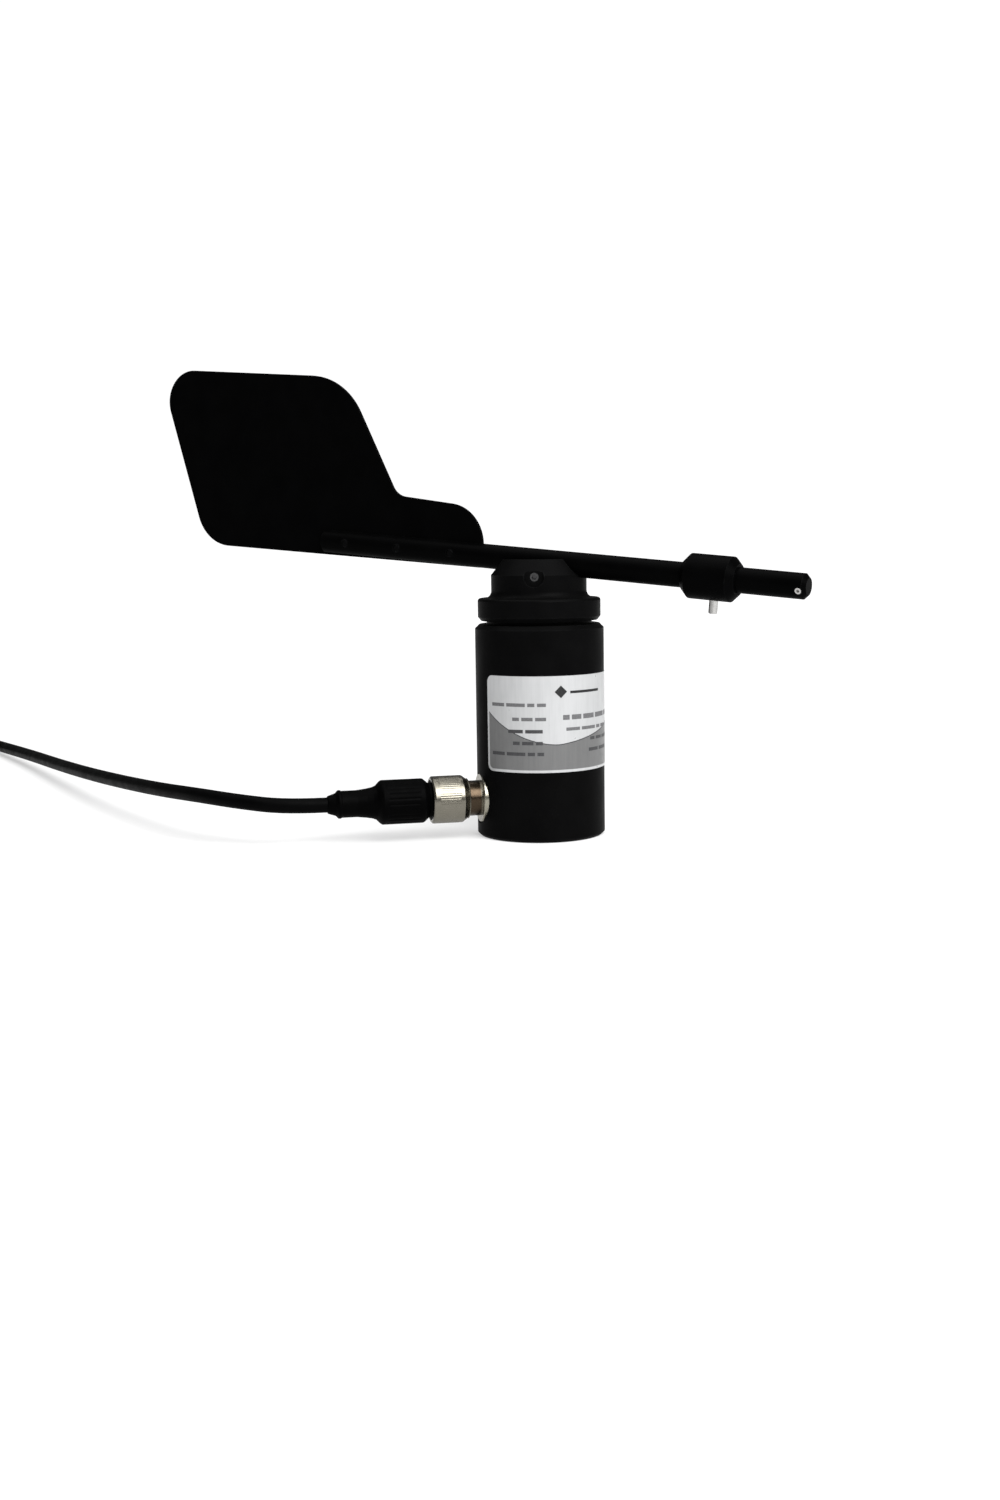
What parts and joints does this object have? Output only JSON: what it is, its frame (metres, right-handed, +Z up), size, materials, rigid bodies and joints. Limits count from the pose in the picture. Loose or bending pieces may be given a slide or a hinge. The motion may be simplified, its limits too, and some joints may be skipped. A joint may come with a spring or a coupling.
{
  "type": "wind direction sensor",
  "caption": "Wind vane sensor: cylindrical housing, free-turning hub with a counterweighted rod and flat tail fin, side connector with its cable.",
  "frame": {"origin": "centre of the housing's flat underside, at the mouth of the mast thread", "axes": "+Z up along the vane's spin axis; -X along the connector, away from the housing"},
  "size_m": [0.3449, 0.4083, 0.1503],
  "materials": {
    "anodised": "black anodised, satin",
    "weight_steel": "blackened, satin",
    "nickel": "nickel plated",
    "steel": "stainless, turned",
    "rivet": "black anodised",
    "spacer_metal": "plain turned",
    "brass_post": "turned",
    "gold": "gold plated",
    "moulding": "moulded polyurethane, fine texture",
    "insert_plastic": "moulded",
    "cable_jacket": "matt polyurethane jacket",
    "seal_rubber": "matt",
    "board": "green solder mask",
    "chips": "moulded",
    "wire_jacket": "coloured insulation",
    "foil": "silver polyester foil, matt"
  },
  "bodies": {
    "housing": {"base_gasket": "seal_rubber", "base_plate": "anodised", "base_screw_1": "steel", "base_screw_2": "steel", "base_screw_3": "steel", "bearing_circlip": "steel", "bearing_spacer": "spacer_metal", "board_parts": "chips", "board_screw_1": "steel", "board_screw_2": "steel", "board_screw_3": "steel", "board_standoff_1": "brass_post", "board_standoff_2": "brass_post", "board_standoff_3": "brass_post", "body_housing": "anodised", "cable_coil": "cable_jacket", "cable_end": "cable_jacket", "cable_tube": "cable_jacket", "circuit_board": "board", "far_plug_contacts": "gold", "far_plug_grip": "moulding", "far_plug_insert": "insert_plastic", "far_plug_seal": "seal_rubber", "label": "foil", "lead_wires": "wire_jacket", "lower_bearing_outer": "steel", "plug_contacts": "gold", "plug_grip": "moulding", "plug_insert": "insert_plastic", "plug_seal": "seal_rubber", "receptacle_gasket": "seal_rubber", "receptacle_insert": "insert_plastic", "receptacle_nut": "nickel", "receptacle_pins": "gold", "receptacle_shell": "nickel", "sensor_chip": "chips", "shaft_seal": "seal_rubber", "upper_bearing_outer": "steel"},
    "rotor": {"rotor_hub": "anodised", "hub_set_screw": "steel", "vane_rod": "anodised", "tail_fin": "anodised", "fin_rivet_1": "rivet", "fin_rivet_2": "rivet", "fin_rivet_3": "rivet", "nose_screw": "steel", "spindle": "steel", "spindle_clip": "steel", "magnet_holder": "spacer_metal", "magnet": "steel", "lower_bearing_inner": "steel", "lower_bearing_balls": "steel", "upper_bearing_inner": "steel", "upper_bearing_balls": "steel"},
    "counterweight": {"counterweight": "weight_steel", "counterweight_screw": "steel"},
    "coupling_nut": {"coupling_nut": "nickel"},
    "far_coupling_nut": {"far_coupling_nut": "nickel"}
  },
  "joints": [
    {"name": "vane_spin", "type": "hinge", "parent": "housing", "child": "rotor", "pos_m": [0, 0, 0], "axis": [0, 0, 1], "continuous": true},
    {"name": "counterweight_slide", "type": "slide", "parent": "rotor", "child": "counterweight", "axis": [0.7403, -0.6666, -0.0872], "range_m": [-0.031, 0.0195]},
    {"name": "coupling_nut_spin", "type": "hinge", "parent": "housing", "child": "coupling_nut", "pos_m": [-0.03, 0, 0.0119], "axis": [-1, 0, 0], "continuous": true},
    {"name": "far_coupling_nut_spin", "type": "hinge", "parent": "housing", "child": "far_coupling_nut", "pos_m": [-0.2528, 0.19628, 0.0074], "axis": [0.1405, -0.9901, 0], "continuous": true}
  ]
}
